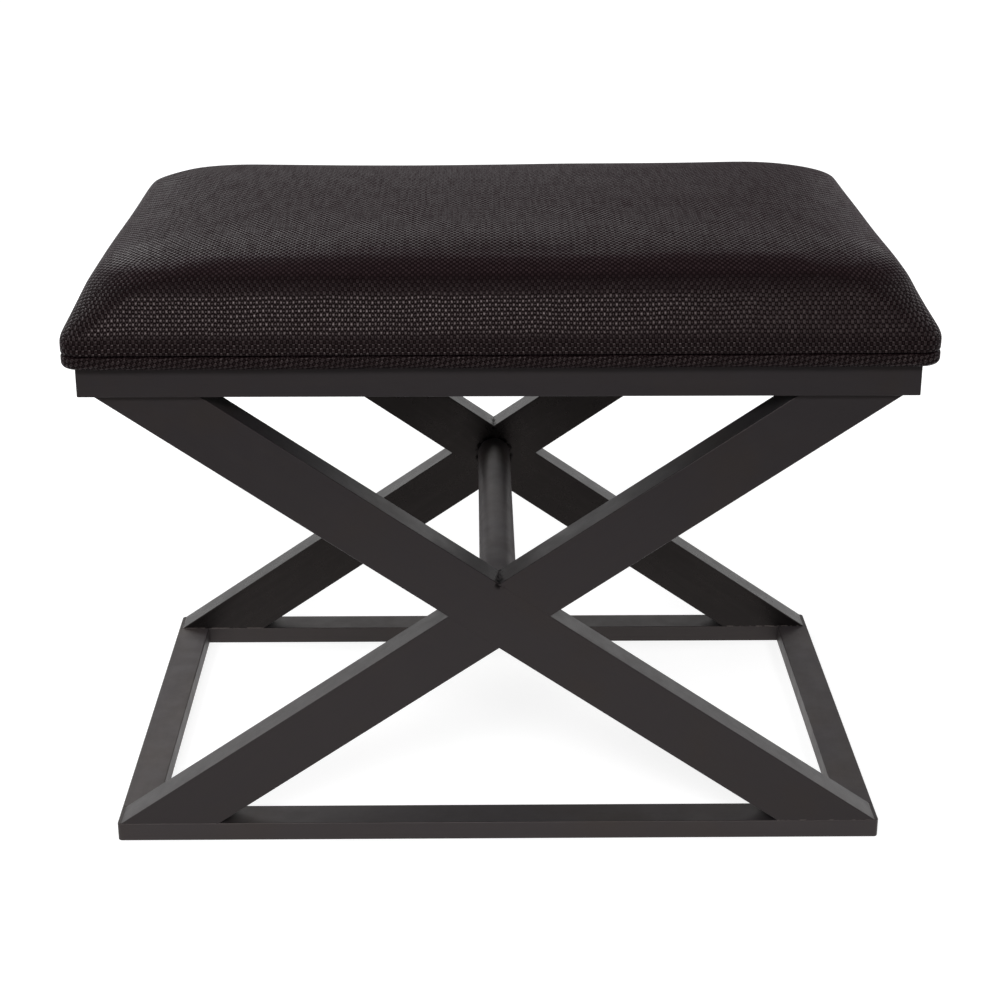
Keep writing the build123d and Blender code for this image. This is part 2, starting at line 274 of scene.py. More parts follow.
def strip_flat(side, level, levels, lengths):
    """Places of a level's points on a strip of cloth, one strip for each side of the seat."""
    inset, _, radius = levels[level]
    _, _, turn, middle = side_points(side, inset, radius)
    along = middle + radius * turn
    strip = strip_spacing * (side - 2) + lengths[level]
    bias = math.sqrt(0.5)
    return flat_middle + bias * np.column_stack([along + strip, strip - along])


def soft_piece(name, levels, flatten, top=False, bottom=False, closed=False):
    """Mesh piece through outlines of the seat, from low to high, each an inset, a height and a radius."""
    starts = np.cumsum((0,) + side_cells)
    lengths = flat_lengths(levels)
    last = len(levels) - 1
    points = [ring_points(*level) for level in levels]
    flats = [[flatten(side, level, levels, lengths) for side in range(4)] for level in range(len(levels))]
    faces, cloth = [], []
    for low in range(len(levels) if closed else last):
        high = (low + 1) % len(levels)
        for side in range(4):
            start = starts[side] + np.arange(side_cells[side])
            end = (start + 1) % ring_count
            near, far = flats[low][side], flats[high][side]
            if low == last:
                far = near - (0, math.dist(levels[last][:2], levels[0][:2]))
            first_of_level = np.array([low, low, high, high]) * ring_count
            faces.append(np.column_stack([start, end, end, start]) + first_of_level)
            cloth.append(np.stack([near[:-1], near[1:], far[1:], far[:-1]], axis=1))
    for wanted, level, turning in ((top, last, 1), (bottom, 0, -1)):
        if wanted:
            numbers = grid_numbers(level * ring_count, sum(len(part) for part in points))
            points.append(grid_points(points[level])[1:-1, 1:-1].reshape(-1, 3))
            faces.append(grid_faces(numbers)[:, ::turning])
            cloth.append(np.concatenate(points)[faces[-1]][:, :, :2] + flat_middle)
    return mesh_piece(name, np.concatenate(points), np.concatenate(faces), np.concatenate(cloth))


def mesh_piece(name, points, faces, cloth=None):
    """Smooth mesh object. The map named flat holds real lengths on the cut cloth."""
    mesh = bpy.data.meshes.new(name)
    mesh.from_pydata(points.tolist(), [], faces.tolist())
    if cloth is not None:
        layer = mesh.uv_layers.new(name="flat")
        layer.data.foreach_set("uv", np.ascontiguousarray(cloth, np.float32).ravel())
    mesh.shade_smooth()
    mesh.update()
    piece = bpy.data.objects.new(name, mesh)
    bpy.context.scene.collection.objects.link(piece)
    return piece


def read_vertices(mesh, what="co"):
    """Places or normals of a mesh's vertices."""
    values = np.zeros(3 * len(mesh.vertices), np.float32)
    mesh.vertices.foreach_get(what, values)
    return values.reshape(-1, 3).astype(float)


def write_places(piece, places):
    """Move a piece's vertices."""
    piece.data.vertices.foreach_set("co", places.astype(np.float32).ravel())
    piece.data.update()


def swell(piece, amount, scale, free):
    """Push the free vertices in and out along their normals by smooth noise."""
    places = read_vertices(piece.data)
    lumps = np.array([noise.noise(Vector(place) * scale) for place in places])
    write_places(piece, places + read_vertices(piece.data, "normal") * (amount * lumps * free)[:, None])


def thicken(piece, thickness):
    """Give a skin its thickness, inwards."""
    shell = piece.modifiers.new("thickness", "SOLIDIFY")
    shell.thickness = thickness
    shell.offset = -1


def refine(piece):
    """Smooth the mesh by one subdivision."""
    finer = piece.modifiers.new("finer", "SUBSURF")
    finer.levels = 1
    finer.render_levels = 1


def smooth_step(value, low, high):
    """Smooth rise from 0 at low to 1 at high."""
    share = np.clip((value - low) / (high - low), 0, 1)
    return share * share * (3 - 2 * share)


def uneven(places):
    """Places moved as hand upholstery moves them: seam flared, crown tilted, back corners uneven."""
    x, y, z = places.T
    end = abs(x / half_width) ** flare_power * np.sign(x)
    low = 1 - smooth_step(z, widest_height, widest_height + flare_fade)
    seam_flare = np.where(x < 0, seam_flare_left, seam_flare_right)
    shoulder_draw = np.where(x < 0, shoulder_draw_left, shoulder_draw_right)
    moved_x = x + end * (seam_flare * low - shoulder_draw * (1 - low))
    inset = np.minimum(half_width - abs(x), half_depth - abs(y))
    outer = 1 - smooth_step(inset, droop_inset, wrap_inset)
    back_corner = (x / half_width) ** 2 * (np.maximum(y, 0) / half_depth) ** 2
    moved_z = z + (crown_tilt * x / half_width + back_corner_lift * back_corner) * (1 - low)
    left_corner = smooth_step(-x / half_width, *left_corner_across)
    left_corner *= smooth_step(y / half_depth, *left_corner_deep)
    moved_z -= left_corner_sink * left_corner * (1 - low)
    moved_z -= seam_droop * (0.5 - x / half_width / 2) * low * outer
    return np.column_stack([moved_x, y, moved_z])


def dress(piece, material, slot, *nodes):
    """Give a soft piece its finish, and let it stand for CAD nodes on the stool's body."""
    piece.data.materials.append(material)
    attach(piece, "root")
    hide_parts(*nodes)


# Cushion

def crown_lift(inset, crown_inset):
    """Height of the crown above its start."""
    ridge_inset = half_depth - crown_ridge_depth / 2
    share = np.clip((inset - crown_inset) / (ridge_inset - crown_inset), 0, 1)
    return crown_rise * (1 - (1 - share) ** crown_fullness)


def cushion_levels(depth, bottom):
    """Outlines of the cushion from bottom up to a rim on the crown, at a depth under its skin."""
    side_arc = side_radius - depth
    edge_arc = edge_radius - depth
    ahead, aside = math.cos(side_lean), math.sin(side_lean)
    first = math.asin(max(bottom - widest_height, 0.0) / side_arc)
    places = []
    for angle in np.linspace(first, side_lean, side_steps + 1):
        inset = side_radius - side_arc * math.cos(angle)
        places.append((inset, widest_height + side_arc * math.sin(angle)))
    run_inset, run_height = places[-1]
    for run in np.linspace(0, side_run, run_steps + 1)[1:]:
        places.append((run_inset + run * aside, run_height + run * ahead))
    edge_inset = side_radius + side_run * aside - (side_radius - edge_radius) * ahead
    edge_height = widest_height + side_run * ahead + (side_radius - edge_radius) * aside
    for angle in np.linspace(side_lean, crown_start_angle, edge_steps + 1)[1:]:
        inset = edge_inset - edge_arc * math.cos(angle)
        places.append((inset, edge_height + edge_arc * math.sin(angle)))
    crown_inset, crown_height = places[-1]
    for inset in np.linspace(crown_inset, crown_inset + crown_rim, crown_steps + 1)[1:]:
        places.append((inset, crown_height + crown_lift(inset, crown_inset)))
    return [(inset, height, cushion_radius(inset)) for inset, height in places]


def inset_of(x, y):
    """How far a point of the seat lies inside its outline, measured through the largest corners."""
    across = abs(x) - half_width + largest_corner_radius
    deep = abs(y) - half_depth + largest_corner_radius
    straight = largest_corner_radius - np.maximum(across, deep)
    room = (across + deep) ** 2 - 2 * (across ** 2 + deep ** 2 - largest_corner_radius ** 2)
    rounded = (np.sqrt(np.maximum(room, 0)) - across - deep) / 2
    in_corner = np.minimum(across, deep) + straight > 0
    return np.where(in_corner, rounded, straight)


def raise_crown(piece, levels):
    """Lift the grid on top of a cushion piece to the crown, and smooth its ridges."""
    rim = (len(levels) - 1) * ring_count
    first = len(levels) * ring_count
    crown_inset, crown_height, _ = levels[-1 - crown_steps]
    places = read_vertices(piece.data)
    inside = places[first:first + inside_count]
    inside[:, 2] = crown_height + crown_lift(inset_of(inside[:, 0], inside[:, 1]), crown_inset)
    numbers = grid_numbers(rim, first)
    heights = places[numbers, 2]
    for _ in range(crown_smoothing):
        heights[1:-1, 1:-1] = (
            heights[:-2, 1:-1] + heights[2:, 1:-1] + heights[1:-1, :-2] + heights[1:-1, 2:]
        ) / 4
    places[numbers, 2] = heights
    write_places(piece, places)


def settle(piece, free):
    """Let the cover settle by a short cloth simulation, in which its filling stops it from sinking."""
    start = read_vertices(piece.data)
    outward = read_vertices(piece.data, "normal")
    held = piece.vertex_groups.new(name="held")
    for number in np.flatnonzero(free < 1):
        held.add([int(number)], 1 - free[number], "REPLACE")
    cloth = piece.modifiers.new("settle", "CLOTH")
    cloth.settings.quality = cloth_quality
    cloth.settings.tension_stiffness = cloth_stiffness
    cloth.settings.compression_stiffness = cloth_stiffness
    cloth.settings.shear_stiffness = cloth_stiffness / 2
    cloth.settings.bending_stiffness = cloth_bending
    cloth.settings.use_pressure = True
    cloth.settings.uniform_pressure_force = settle_pressure
    cloth.settings.vertex_group_mass = held.name
    cloth.settings.effector_weights.gravity = 0
    scene = bpy.context.scene
    for number in range(1, settle_frames + 1):
        scene.frame_set(number)
    solved = piece.evaluated_get(bpy.context.evaluated_depsgraph_get())
    moved = read_vertices(solved.data) - start
    scene.frame_set(1)
    piece.modifiers.remove(cloth)
    rise = (moved * outward).sum(axis=1)
    rise = np.clip(rise, -settle_sink, settle_rise)
    write_places(piece, start + outward * (rise * free)[:, None])


def make_cover(material):
    """Seat cover from its margin under the board, over the seam, up the sides and across the crown."""
    margin_height = board_low.z - soft_gap - fabric
    levels = [
        (wrap_inset + margin_width, margin_height),
        (wrap_inset + 2 * fabric, margin_height),
        (wrap_inset, margin_height + fabric),
        (wrap_inset, seam_height - fabric),
        (wrap_inset - fabric, seam_height),
    ]
    levels = [(inset, height, outline_radius(inset)) for inset, height in levels]
    hidden = len(levels)
    for angle in np.linspace(-tuck_angle, 0, tuck_steps + 1)[:-1]:
        inset = tuck_draw * (1 - math.cos(angle)) / (1 - math.cos(tuck_angle))
        levels.append((inset, widest_height + tuck_radius * math.sin(angle), cushion_radius(inset)))
    levels += cushion_levels(0.0, widest_height)
    cover = soft_piece("seat_cover_cloth", levels, cover_flat, top=True)
    raise_crown(cover, levels)
    write_places(cover, uneven(read_vertices(cover.data)))
    free = np.ones(len(cover.data.vertices))
    free[:hidden * ring_count] = 0
    free[hidden * ring_count:(hidden + tuck_steps) * ring_count] = np.repeat(
        np.arange(tuck_steps) / tuck_steps, ring_count
    )
    swell(cover, cover_swell, cover_swell_scale, free)
    settle(cover, free)
    refine(cover)
    thicken(cover, fabric)
    dress(cover, material, "seat_fabric", "seat_cover")


def make_filling(name, depth, thickness, material, slot, node):
    """Wadding or foam under the cover: a shell of a thickness, or solid where that is none."""
    levels = cushion_levels(depth, board_high.z)
    piece = soft_piece(name, levels, cover_flat, top=True, bottom=thickness is None)
    raise_crown(piece, levels)
    write_places(piece, uneven(read_vertices(piece.data)))
    if thickness is not None:
        thicken(piece, thickness)
    dress(piece, material, slot, node)


# Piping

def make_piping(material):
    """Fabric bead under the seam, with the flange that holds it under the board."""
    flange_bottom = dust_high.z
    flange_end = piping_radius + flange_width
    low_turn = math.asin((flange_bottom - piping_height) / piping_radius)
    high_turn = math.asin((flange_bottom + fabric - piping_height) / piping_radius)
    levels = [(flange_end, flange_bottom)]
    for angle in np.linspace(-math.pi - low_turn, math.pi - high_turn, bead_steps + 1):
        squareness = bead_top_squareness if angle > 0 else bead_low_squareness
        out = math.copysign(abs(math.cos(angle)) ** squareness, math.cos(angle))
        up = math.copysign(abs(math.sin(angle)) ** squareness, math.sin(angle))
        levels.append((piping_radius * (1 - out), piping_height + piping_radius * up))
    levels.append((flange_end, flange_bottom + fabric))
    levels = [(inset, height, outline_radius(inset)) for inset, height in levels]
    piping = soft_piece("piping_cloth", levels, strip_flat, closed=True)
    bead = np.zeros(len(piping.data.vertices))
    bead[ring_count:-ring_count] = 1
    swell(piping, piping_swell, piping_swell_scale, bead)
    places = read_vertices(piping.data)
    drift = [noise.noise(Vector((x, y, 0)) * piping_wander_scale) for x, y, _ in places]
    places[:, 2] += piping_wander * np.array(drift) * bead
    write_places(piping, uneven(places))
    refine(piping)
    dress(piping, material, "seat_fabric", "piping_cover")


def make_cord(material):
    """Twisted cord inside the piping."""
    ring = uneven(ring_points(piping_radius, piping_height, outline_radius(piping_radius)))
    whole = np.concatenate([ring, ring[:1]])
    travelled = np.concatenate([[0], np.cumsum(np.linalg.norm(np.diff(whole, axis=0), axis=1))])
    run = np.linspace(0, travelled[-1], strand_steps, endpoint=False)
    middle = np.column_stack([np.interp(run, travelled, whole[:, axis]) for axis in range(3)])
    ahead = np.roll(middle, -1, axis=0) - np.roll(middle, 1, axis=0)
    ahead /= np.linalg.norm(ahead, axis=1, keepdims=True)
    outward = np.column_stack([ahead[:, 1], -ahead[:, 0], np.zeros(strand_steps)])
    turns = round(travelled[-1] / strand_lay)
    points, faces = [], []
    for strand in range(strand_count):
        lay = 2 * math.pi * (turns * np.arange(strand_steps) / strand_steps + strand / strand_count)
        line = middle + strand_offset * np.cos(lay)[:, None] * outward
        line[:, 2] += strand_offset * np.sin(lay)
        for number in range(strand_sides):
            angle = 2 * math.pi * number / strand_sides
            point = line + strand_radius * math.cos(angle) * outward
            point[:, 2] += strand_radius * math.sin(angle)
            points.append(point)
            start = (strand * strand_sides + number) * strand_steps
            beside = (strand * strand_sides + (number + 1) % strand_sides) * strand_steps
            step = np.arange(strand_steps)
            following = (step + 1) % strand_steps
            quads = [start + step, start + following, beside + following, beside + step]
            faces.append(np.column_stack(quads))
    cord = mesh_piece("piping_cord_strands", np.concatenate(points), np.concatenate(faces))
    dress(cord, material, "piping_cord", "piping_cord")


# Dust cover

def make_dust_cover(material):
    """Thin sheet under the seat, which sags a little inside the apron."""
    _, left_rail_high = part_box("apron_left_rail")
    _, front_rail_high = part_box("apron_front_rail")
    open_x, open_y = -left_rail_high.x, -front_rail_high.y
    inset = half_width - dust_high.x
    grid = grid_points(ring_points(inset, dust_high.z, dust_corner_radius))
    across = np.clip(1 - (grid[:, :, 0] / open_x) ** 2, 0, None)
    deep = np.clip(1 - (grid[:, :, 1] / open_y) ** 2, 0, None)
    grid[:, :, 2] -= dust_cover_sag * across * deep
    numbers = np.arange(grid.shape[0] * grid.shape[1]).reshape(grid.shape[:2])
    points = grid.reshape(-1, 3)
    faces = grid_faces(numbers)
    sheet = mesh_piece("dust_cover_sheet", points, faces, points[faces][:, :, :2] + flat_middle)
    thicken(sheet, dust_cover_thickness)
    dress(sheet, material, "dust_sheet", "dust_cover")


# Finishes

class Nodes:
    """A node tree in the making: adds nodes, and sets or links what goes into them."""

    # Numbers of the sockets that take and give colours on a Mix node
    first_colour = 6
    second_colour = 7
    mixed_colour = 2

    def __init__(self, tree):
        self.tree = tree

    def put(self, socket, value):
        """Link a socket's value, or set a plain one."""
        if isinstance(value, bpy.types.NodeSocket):
            self.tree.links.new(value, socket)
        else:
            socket.default_value = value

    def node(self, kind, inputs, **settings):
        """Add a node with settings and inputs, and return its first output."""
        node = self.tree.nodes.new("ShaderNode" + kind)
        for name, value in settings.items():
            setattr(node, name, value)
        for name, value in inputs.items():
            self.put(node.inputs[name], value)
        return node.outputs[0]

    def maths(self, operation, first, second=0.0):
        """One sum of two values."""
        return self.node("Math", {0: first, 1: second}, operation=operation)

    def product(self, *values):
        """All the values multiplied."""
        found = values[0]
        for value in values[1:]:
            found = self.maths("MULTIPLY", found, value)
        return found

    def ramp(self, value, low, high, out_low=0.0, out_high=1.0):
        """Smooth step from one value to another."""
        inputs = {"Value": value, "From Min": low, "From Max": high, "To Min": out_low, "To Max": out_high}
        return self.node("MapRange", inputs, interpolation_type="SMOOTHSTEP")

    def mix(self, factor, first, second):
        """Colour between two colours."""
        inputs = {"Factor": factor, self.first_colour: first, self.second_colour: second}
        mixer = self.tree.nodes.new("ShaderNodeMix")
        mixer.data_type = "RGBA"
        for name, value in inputs.items():
            self.put(mixer.inputs[name], value)
        return mixer.outputs[self.mixed_colour]

    def place(self):
        """Place on the stool, in metres."""
        return self.tree.nodes.new("ShaderNodeTexCoord").outputs["Object"]

    def facing(self):
        """Direction that the surface faces, on the stool."""
        return self.tree.nodes.new("ShaderNodeTexCoord").outputs["Normal"]

    def turned(self, vector, rotation, scale):
        """Vector turned and scaled, so that its first axis follows the grain."""
        return self.node("Mapping", {"Vector": vector, "Rotation": rotation, "Scale": scale})

    def axes(self, vector):
        """The three parts of a vector."""
        node = self.tree.nodes.new("ShaderNodeSeparateXYZ")
        self.put(node.inputs[0], vector)
        return node.outputs

    def speckle(self, vector, scale, detail=2.0, roughness=0.5):
        """Smooth noise about 0.5."""
        inputs = {"Vector": vector, "Scale": scale, "Detail": detail, "Roughness": roughness}
        return self.node("TexNoise", inputs)

    def bump(self, height, distance, strength=1.0):
        """Normal of a surface with a height map."""
        inputs = {"Height": height, "Distance": distance, "Strength": strength}
        return self.node("Bump", inputs)

    def rays(self, *kinds):
        """1 for rays of these kinds, 0 for others."""
        path = self.tree.nodes.new("ShaderNodeLightPath")
        found = path.outputs[f"Is {kinds[0]} Ray"]
        for kind in kinds[1:]:
            found = self.maths("MAXIMUM", found, path.outputs[f"Is {kind} Ray"])
        return found


class Finish(Nodes):
    """A material in the making."""

    def __init__(self, name):
        self.material = bpy.data.materials.new(name)
        self.material.use_nodes = True
        super().__init__(self.material.node_tree)

    def coat(self, **values):
        """Set or link the shader's own sockets, named with _ for a space."""
        shader = self.tree.nodes["Principled BSDF"]
        for name, value in values.items():
            self.put(shader.inputs[name.replace("_", " ")], value)


def colour(red, green, blue):
    """Linear colour with full alpha."""
    return (red, green, blue, 1.0)


def thread_count(finish, distance, pitch, drift, wander):
    """Threads counted along a direction of the cloth, which wander aside with a noise."""
    counted = finish.maths("DIVIDE", distance, pitch)
    aside = finish.product(finish.maths("SUBTRACT", drift, 0.5), wander)
    return finish.maths("ADD", counted, aside)


def weave_finish():
    """Coarse plain weave of warm black yarn: weft floats stand proud and shine, warp floats lie lower."""
    finish = Finish("seat_weave")

    # Threads and how they cross
    cloth = finish.node("UVMap", {}, uv_map="flat")
    across, deep, _ = finish.axes(cloth)
    drift_across = finish.speckle(cloth, 26.0)
    drift_deep = finish.speckle(finish.turned(cloth, (0, 0, 2.1), (1, 1, 1)), 31.0)
    warp = thread_count(finish, across, warp_pitch, drift_across, warp_wander)
    weft = thread_count(finish, deep, weft_pitch, drift_deep, weft_wander)
    warp_wave = finish.maths("SINE", finish.product(warp, math.pi))
    weft_wave = finish.maths("SINE", finish.product(weft, math.pi))
    crossing = finish.product(warp_wave, weft_wave)
    raised = finish.ramp(crossing, -0.25, 0.75)
    sunk = finish.ramp(crossing, -0.90, -0.30, 0.30, 0.0)
    shown = finish.ramp(crossing, -0.20, 0.30)
    crest = finish.ramp(crossing, -0.24, 0.26)
    low_crest = finish.ramp(crossing, -0.90, -0.45, 0.4, 0.0)

    # Uneven yarn
    thread = finish.node("CombineXYZ", {0: finish.maths("FLOOR", warp), 1: finish.maths("FLOOR", weft)})
    tone = finish.node("TexWhiteNoise", {"Vector": thread}, noise_dimensions="2D")
    fibre = finish.speckle(finish.turned(cloth, (0, 0, 0.35), (900, 3600, 1)), 1.0, 3.0)
    slub = finish.speckle(finish.turned(cloth, (0, 0, 0), (24, 300, 1)), 1.0, 1.0)
    long_streak = finish.speckle(finish.turned(cloth, (0, 0, 0), (36, 430, 1)), 1.0, 1.0)
    deep_streak = finish.speckle(finish.turned(cloth, (0, 0, 0), (380, 26, 1)), 1.0, 1.0)
    linen = finish.ramp(finish.maths("ADD", long_streak, deep_streak), 0.70, 1.30, 0.45, 1.55)
    lint = finish.ramp(finish.speckle(cloth, 520.0, 1.0), 0.80, 0.86, 0.0, 0.8)

    # The sides keep their gloss, and the crown, which faces up, is matt, with painted sheen that makes its
    # yarn lighter
    _, backward, upward = finish.axes(finish.facing())
    nap = finish.ramp(upward, 0.76, 0.995)
    painted_sheen = finish.ramp(upward, 0.82, 0.998)
    glint = finish.ramp(upward, 0.44, 0.86, 1.0, 0.25)
    lift = finish.ramp(backward, -0.060, 0.0, 2.3, 1.0)
    front_fall = finish.ramp(backward, -0.247, -0.045)
    end_fall = finish.ramp(upward, 0.90, 0.99)

    yarn = finish.mix(tone, colour(0.0100, 0.0058, 0.0064), colour(0.0146, 0.0086, 0.0094))
    yarn = finish.mix(finish.ramp(slub, 0.35, 0.75), yarn, colour(0.0124, 0.0073, 0.0080))
    # Painted sheen: the yarn is painted lighter where the cloth faces up
    sheen_painted_yarn = finish.mix(tone, colour(0.0196, 0.0126, 0.0138), colour(0.0290, 0.0186, 0.0204))
    yarn = finish.mix(painted_sheen, yarn, sheen_painted_yarn)
    # Painted shade: the pits between the threads are painted much darker than the yarn
    pit_shade, low_thread = colour(0.0038, 0.0022, 0.0024), colour(0.0102, 0.0060, 0.0066)
    shaded_gap = finish.mix(finish.ramp(sunk, 0.0, 0.22), pit_shade, low_thread)
    base = finish.mix(lint, finish.mix(shown, shaded_gap, yarn), colour(0.100, 0.090, 0.095))

    shine = finish.maths("ADD", crest, low_crest)
    gloss = finish.product(finish.ramp(tone, 0.0, 1.0, 0.155, 0.235), shine, glint)
    matt = finish.product(finish.ramp(crest, 0.0, 1.0, 0.0004, 0.0185), linen, lift, front_fall, end_fall)
    rough = finish.ramp(fibre, 0.3, 0.8, 0.26, 0.35)
    height = finish.maths("ADD", raised, sunk)
    relief = finish.maths("ADD", height, finish.product(fibre, 0.04))
    finish.coat(
        Base_Color=base,
        Roughness=finish.node("Mix", {"Factor": nap, "A": rough, "B": 0.22}),
        Specular_IOR_Level=finish.node("Mix", {"Factor": nap, "A": gloss, "B": matt}),
        Specular_Tint=colour(1.0, 0.85, 0.84),
        Sheen_Weight=0.02,
        Sheen_Roughness=0.35,
        Sheen_Tint=colour(1.0, 0.35, 0.62),
        Normal=finish.bump(relief, 0.0004, finish.ramp(nap, 0.0, 1.0, 1.0, 0.40)),
    )
    return finish.material


def timber_finish(name, turn, warmth=0.5, tone=1.0, gloss=0.22, rough=0.44, joint_line=0.0, shade_joints=False):
    """Black lacquered timber with its grain along a turn about Y or Z; tone scales its colour as painted
    light and shade.
    """
    finish = Finish(name)
    place = finish.place()
    along = finish.turned(place, turn, (1, 1, 1))
    figure = finish.speckle(finish.turned(along, (0, 0, 0), (7, 110, 110)), 1.0, 4.0, 0.6)
    pores = finish.speckle(finish.turned(along, (0, 0, 0), (60, 1500, 1500)), 1.0, 2.0)
    cloud = finish.speckle(place, 14.0, 3.0, 0.55)
    rub = finish.speckle(place, 55.0, 4.0, 0.65)

    cool = colour(0.0264 * tone, 0.0232 * tone, 0.0258 * tone)
    warm = colour(0.0300 * tone, 0.0236 * tone, 0.0212 * tone)
    base = finish.mix(finish.ramp(cloud, 0.7 - 0.5 * warmth, 1.0 - 0.4 * warmth, 0.0, 0.9), cool, warm)
    base = finish.mix(finish.ramp(figure, 0.42, 0.68, 0.0, 0.30), base, colour(0.0220, 0.0190, 0.0190))
    base = finish.mix(finish.ramp(pores, 0.60, 0.78, 0.0, 0.40), base, colour(0.0140, 0.0120, 0.0120))
    base = finish.mix(finish.ramp(rub, 0.66, 0.80, 0.0, 0.15), base, colour(0.0520, 0.0450, 0.0430))
    if joint_line:
        _, _, z = finish.axes(place)
        near_foot = finish.ramp(z, leg_low.z + 0.0003, leg_low.z + 0.0010, 1.0, 0.0)
        broken = finish.ramp(finish.speckle(place, 160.0, 2.0), 0.42, 0.56, 0.0, joint_line)
        base = finish.mix(finish.product(near_foot, broken), base, colour(0.150, 0.128, 0.122))
    level = gloss
    # Painted shade in the crossings' notches and round the stretcher's sockets, where the gloss is lowered
    # too
    if shade_joints:
        joint_shade = painted_joint_shade(finish, place)
        base = finish.mix(joint_shade, base, colour(0.0016, 0.0013, 0.0013))
        level = finish.ramp(joint_shade, 0.0, 1.0, gloss, 0.03)
    grain = finish.maths("ADD", finish.product(figure, 0.5), finish.product(pores, -0.8))
    finish.coat(
        Base_Color=base,
        Roughness=finish.ramp(rub, 0.25, 0.75, rough, rough + 0.10),
        Specular_IOR_Level=level,
        Specular_Tint=colour(1.0, 0.88, 0.84),
        Normal=finish.bump(grain, 0.00018, 0.25),
    )
    return finish.material


def painted_joint_shade(finish, place):
    """Painted shade: darkening in a crossing's upper notch and, inside the crosses, a painted contact
    shadow round the stretcher's socket.
    """
    x, y, z = finish.axes(place)
    middle = (leg_low.z + leg_high.z) / 2
    notch = middle + leg_width / 2 / math.cos(leg_slope)
    socket = (stretcher_high.x - stretcher_low.x) / 2
    blotch = finish.ramp(finish.speckle(place, 240.0, 3.0, 0.6), 0.42, 0.58)
    in_notch = finish.ramp(distance_from(finish, x, z, notch), 0.001, 0.006, 0.9, 0.0)
    from_middle = distance_from(finish, x, z, middle)
    round_socket = finish.ramp(from_middle, socket + 0.0012, socket + 0.0040, 1.0, 0.0)
    inner_face = -leg_high.y
    inner = finish.ramp(finish.maths("ABSOLUTE", y), inner_face + 0.0005, inner_face + 0.0015, 1.0, 0.0)
    marks = finish.maths("MAXIMUM", in_notch, finish.product(round_socket, inner))
    return finish.product(marks, blotch)


def distance_from(finish, x, z, height):
    """Distance of a place from the middle line of the stool at a height."""
    rise = finish.maths("SUBTRACT", z, height)
    squares = finish.maths("ADD", finish.maths("POWER", x, 2.0), finish.maths("POWER", rise, 2.0))
    return finish.maths("SQRT", squares)


def plain_wood_finish(name, light, dark, turn, plies=None):
    """Bare wood with its grain along a turn, and veneer edges where plies gives their thickness."""
    finish = Finish(name)
    place = finish.place()
    along = finish.turned(place, turn, (1, 1, 1))
    figure = finish.speckle(finish.turned(along, (0, 0, 0), (9, 160, 160)), 1.0, 4.0, 0.6)
    fleck = finish.speckle(finish.turned(along, (0, 0, 0), (130, 1600, 1600)), 1.0, 2.0)
    base = finish.mix(finish.ramp(figure, 0.3, 0.7), light, dark)
    base = finish.mix(finish.ramp(fleck, 0.6, 0.75, 0.0, 0.5), base, dark)
    if plies is not None:
        _, _, z = finish.axes(place)
        stripe = finish.maths("SINE", finish.product(z, math.pi / plies))
        base = finish.mix(finish.ramp(stripe, -0.3, 0.3, 0.0, 0.5), base, dark)
    finish.coat(
        Base_Color=base,
        Roughness=finish.ramp(figure, 0.3, 0.7, 0.55, 0.70),
        Specular_IOR_Level=0.3,
        Normal=finish.bump(fleck, 0.0002, 0.4),
    )
    return finish.material


def steel_finish(name, light, dark):
    """Zinc-plated steel with a fine uneven gloss."""
    finish = Finish(name)
    mottle = finish.speckle(finish.place(), 420.0, 3.0, 0.6)
    finish.coat(
        Base_Color=finish.mix(mottle, dark, light),
        Metallic=1.0,
        Roughness=finish.ramp(mottle, 0.3, 0.7, 0.28, 0.45),
        Normal=finish.bump(mottle, 0.0001, 0.3),
    )
    return finish.material


def fibre_finish(name, light, dark, scale, depth):
    """Loose or felted fibre, with fine strands and small hollows."""
    finish = Finish(name)
    place = finish.place()
    hollows = finish.speckle(place, scale, 4.0, 0.65)
    strands = finish.speckle(finish.turned(place, (0.4, 0.2, 0.7), (4, 1, 1)), scale * 2.2, 3.0)
    finish.coat(
        Base_Color=finish.mix(finish.ramp(hollows, 0.35, 0.65), dark, light),
        Roughness=finish.ramp(strands, 0.3, 0.7, 0.80, 0.95),
        Specular_IOR_Level=0.2,
        Normal=finish.bump(finish.maths("ADD", hollows, strands), depth, 0.7),
    )
    return finish.material


# Soft pieces with their finishes

weave = weave_finish()
wadding_depth = fabric + soft_gap
foam_depth = wadding_depth + wadding + soft_gap
fleece = fibre_finish("wadding_fibre", colour(0.86, 0.86, 0.84), colour(0.62, 0.62, 0.60), 260.0, 0.0012)
cells = fibre_finish("foam_cells", colour(0.80, 0.72, 0.46), colour(0.58, 0.48, 0.26), 620.0, 0.0006)
cotton = fibre_finish("cotton_cord", colour(0.76, 0.72, 0.64), colour(0.50, 0.46, 0.38), 900.0, 0.0003)
felt = fibre_finish("dust_cloth", colour(0.024, 0.024, 0.025), colour(0.012, 0.012, 0.012), 700.0, 0.0003)
make_cover(weave)
make_piping(weave)
make_filling("seat_wadding_fill", wadding_depth, wadding, fleece, "wadding", "seat_wadding")
make_filling("seat_foam_block", foam_depth, None, cells, "foam", "seat_foam")
make_cord(cotton)
make_dust_cover(felt)


# Finishes of the timber and the fasteners

def paint(material, *nodes):
    """Give CAD nodes a finish."""
    for name in nodes:
        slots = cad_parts[name].data.materials
        slots.clear()
        slots.append(material)


across_grain = (0.0, 0.0, 0.0)
deep_grain = (0.0, 0.0, math.pi / 2)
rising_right = (0.0, leg_slope, 0.0)
rising_left = (0.0, -leg_slope, 0.0)
